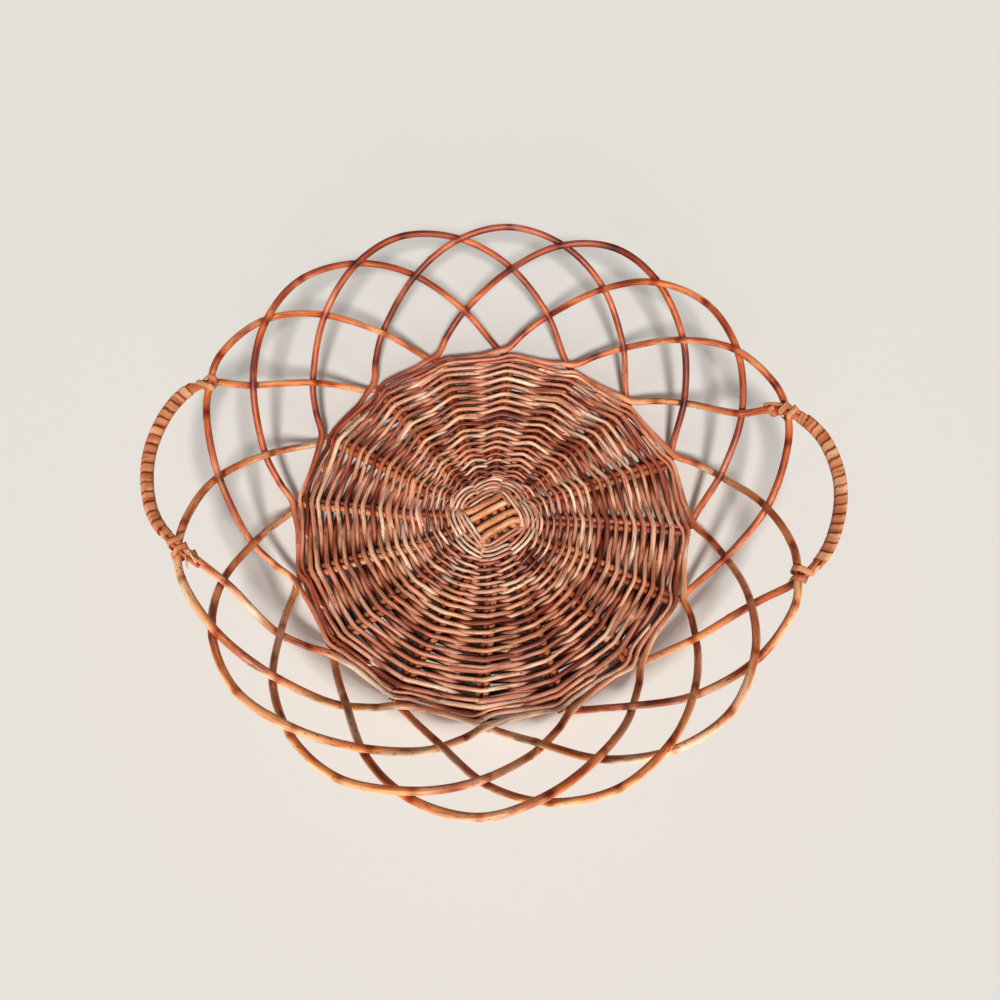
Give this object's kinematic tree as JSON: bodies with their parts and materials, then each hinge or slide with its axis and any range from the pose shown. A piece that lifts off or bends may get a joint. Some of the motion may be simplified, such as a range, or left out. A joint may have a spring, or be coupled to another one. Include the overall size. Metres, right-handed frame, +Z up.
{
  "type": "willow basket",
  "caption": "Round openwork willow tray basket with a flat woven base, a flaring border of crossing arches and two opposite wrapped loop handles.",
  "frame": {"origin": "on the surface that the basket stands on, under the middle of its base", "axes": "+X towards one handle, +Y across the handles, +Z up"},
  "size_m": [0.3922, 0.3602, 0.084],
  "materials": {
    "border_rod": "boiled and peeled willow rod, orange brown, satin, with fine grain, dark specks and knots",
    "weaver": "thin willow weaving rod, pinkish brown, matt, darker in the gaps",
    "base_stick": "thick willow stick, orange brown, satin, with fine lengthwise grain",
    "skein": "split and shaved willow strip, flat, satin, with pale cut edges"
  },
  "bodies": {
    "root": {"handle_arch_right": "border_rod", "border_arch_01": "border_rod", "border_arch_02": "border_rod", "border_arch_03": "border_rod", "border_arch_04": "border_rod", "border_arch_05": "border_rod", "border_arch_06": "border_rod", "border_arch_07": "border_rod", "handle_arch_left": "border_rod", "border_arch_09": "border_rod", "border_arch_10": "border_rod", "border_arch_11": "border_rod", "border_arch_12": "border_rod", "border_arch_13": "border_rod", "border_arch_14": "border_rod", "border_arch_15": "border_rod", "base_stick_upper_1": "base_stick", "base_stick_upper_2": "base_stick", "base_stick_upper_3": "base_stick", "base_stick_upper_4": "base_stick", "base_stick_lower_1": "base_stick", "base_stick_lower_2": "base_stick", "base_stick_lower_3": "base_stick", "base_stick_lower_4": "base_stick", "slath_binding": "weaver", "base_weave_1": "weaver", "base_weave_2": "weaver", "rim_weave": "weaver", "handle_core_right": "border_rod", "handle_core_left": "border_rod", "handle_wrap_right": "skein", "tie_right_start": "skein", "tie_right_end": "skein", "handle_wrap_left": "skein", "tie_left_start": "skein", "tie_left_end": "skein"}
  },
  "joints": []
}
